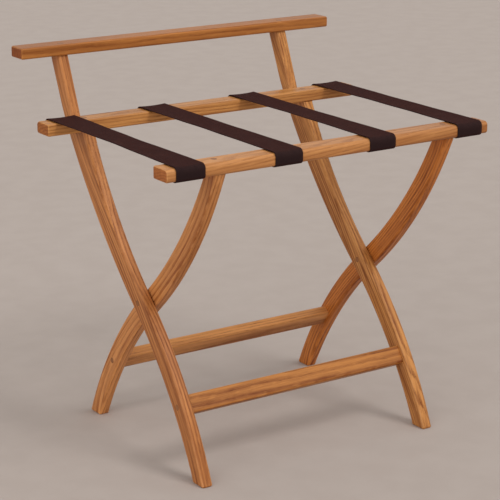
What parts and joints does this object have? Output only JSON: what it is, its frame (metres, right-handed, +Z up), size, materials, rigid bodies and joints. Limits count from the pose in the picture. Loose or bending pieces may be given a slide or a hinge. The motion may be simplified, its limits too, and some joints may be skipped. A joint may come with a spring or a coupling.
{
  "type": "folding luggage rack",
  "caption": "Folding wooden luggage rack: crossed frames of curved legs on a pivot, seat rails joined by webbing straps, and a raised back rail that keeps luggage off the wall.",
  "frame": {"origin": "on the floor, under the middle of the open rack", "axes": "+X along the rails to the right as seen from the front, +Y to the back rail, +Z up"},
  "size_m": [0.616, 0.4855, 0.6308],
  "materials": {
    "oak": "clear satin lacquer on honey oak",
    "plug_wood": "flush oak plugs under the same lacquer",
    "webbing": "flat woven webbing, dark brown",
    "steel": "zinc plated",
    "insert_brass": "plain turned",
    "washer_nylon": "moulded nylon"
  },
  "bodies": {
    "long_frame": {"left_long_leg": "oak", "right_long_leg": "oak", "back_rail": "oak", "rear_seat_rail": "oak", "front_stretcher": "oak", "back_rail_screws": "steel", "back_rail_plugs": "plug_wood", "rear_rail_screws": "steel", "rear_rail_plugs": "plug_wood", "front_stretcher_screws": "steel", "front_stretcher_plugs": "plug_wood", "pivot_plugs": "plug_wood", "strap_1": "webbing", "strap_2": "webbing", "strap_3": "webbing", "strap_4": "webbing", "strap_1_rear_end": "webbing", "strap_2_rear_end": "webbing", "strap_3_rear_end": "webbing", "strap_4_rear_end": "webbing", "rear_strap_tacks": "steel"},
    "short_frame": {"left_short_leg": "oak", "right_short_leg": "oak", "front_seat_rail": "oak", "rear_stretcher": "oak", "front_rail_screws": "steel", "front_rail_plugs": "plug_wood", "rear_stretcher_screws": "steel", "rear_stretcher_plugs": "plug_wood", "left_pivot_bolt": "steel", "right_pivot_bolt": "steel", "left_pivot_insert": "insert_brass", "right_pivot_insert": "insert_brass", "left_pivot_washer": "washer_nylon", "right_pivot_washer": "washer_nylon", "strap_1_front_end": "webbing", "strap_2_front_end": "webbing", "strap_3_front_end": "webbing", "strap_4_front_end": "webbing", "front_strap_tacks": "steel"}
  },
  "joints": [
    {"name": "fold", "type": "hinge", "parent": "long_frame", "child": "short_frame", "pos_m": [0, -0.0375, 0.251], "axis": [-1, 0, 0], "range_deg": [0, 62], "deforming": ["strap_1", "strap_2", "strap_3", "strap_4"]}
  ]
}
